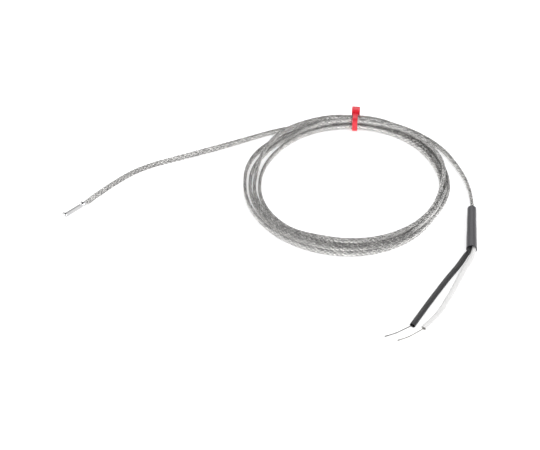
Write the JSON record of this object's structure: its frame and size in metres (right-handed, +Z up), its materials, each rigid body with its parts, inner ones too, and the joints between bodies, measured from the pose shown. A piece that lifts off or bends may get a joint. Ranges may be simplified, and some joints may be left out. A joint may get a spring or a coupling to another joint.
{
  "type": "thermocouple",
  "caption": "Thermocouple with a short closed steel sheath, flat steel-braided cable tied in a round coil, and black and white sleeved wires with bare ends.",
  "frame": {"origin": "on the surface the part lies on, under the middle of the probe sheath", "axes": "+X along the probe sheath towards its closed tip, +Y towards the coil and the wires, +Z up"},
  "size_m": [0.2409, 0.2581, 0.0136],
  "materials": {
    "sheath_steel": "polished stainless steel tube with a rolled crimp",
    "cement": "cast ceramic potting cement, matt and fine-grained",
    "junction_metal": "oxidised weld bead",
    "iron_wire": "bare stranded iron wire, dull grey",
    "constantan_wire": "bare stranded copper-nickel wire, pale grey",
    "black_glass": "black glass fibre lapping",
    "white_glass": "white glass fibre lapping",
    "glass_jacket": "off-white braided glass fibre jacket",
    "braid_steel": "woven bright stainless steel wire",
    "heat_shrink": "satin black polyolefin heat-shrink",
    "black_sleeving": "black braided glass fibre sleeving",
    "white_sleeving": "white braided glass fibre sleeving",
    "red_nylon": "moulded red nylon"
  },
  "bodies": {
    "thermocouple": {"probe_sheath": "sheath_steel", "potting_cement": "cement", "junction_bead": "junction_metal", "positive_leg": "iron_wire", "negative_leg": "constantan_wire", "positive_core_tip": "black_glass", "negative_core_tip": "white_glass", "jacket_tip": "glass_jacket", "lead_braid": "braid_steel", "coil_braid": "braid_steel", "tail_braid": "braid_steel", "jacket_tail": "glass_jacket", "positive_core_tail": "black_glass", "negative_core_tail": "white_glass", "heat_shrink": "heat_shrink", "positive_sleeve": "black_sleeving", "negative_sleeve": "white_sleeving", "positive_wire": "iron_wire", "negative_wire": "constantan_wire", "cable_tie": "red_nylon"},
    "pawl": {"tie_pawl": "red_nylon"}
  },
  "joints": [
    {"name": "pawl_flex", "type": "hinge", "parent": "thermocouple", "child": "pawl", "pos_m": [-0.21092, 0.07087, 0.00865], "axis": [0.6157, -0.788, 0], "range_deg": [0, 12], "stiffness_Nm_per_rad": 0.0004}
  ]
}
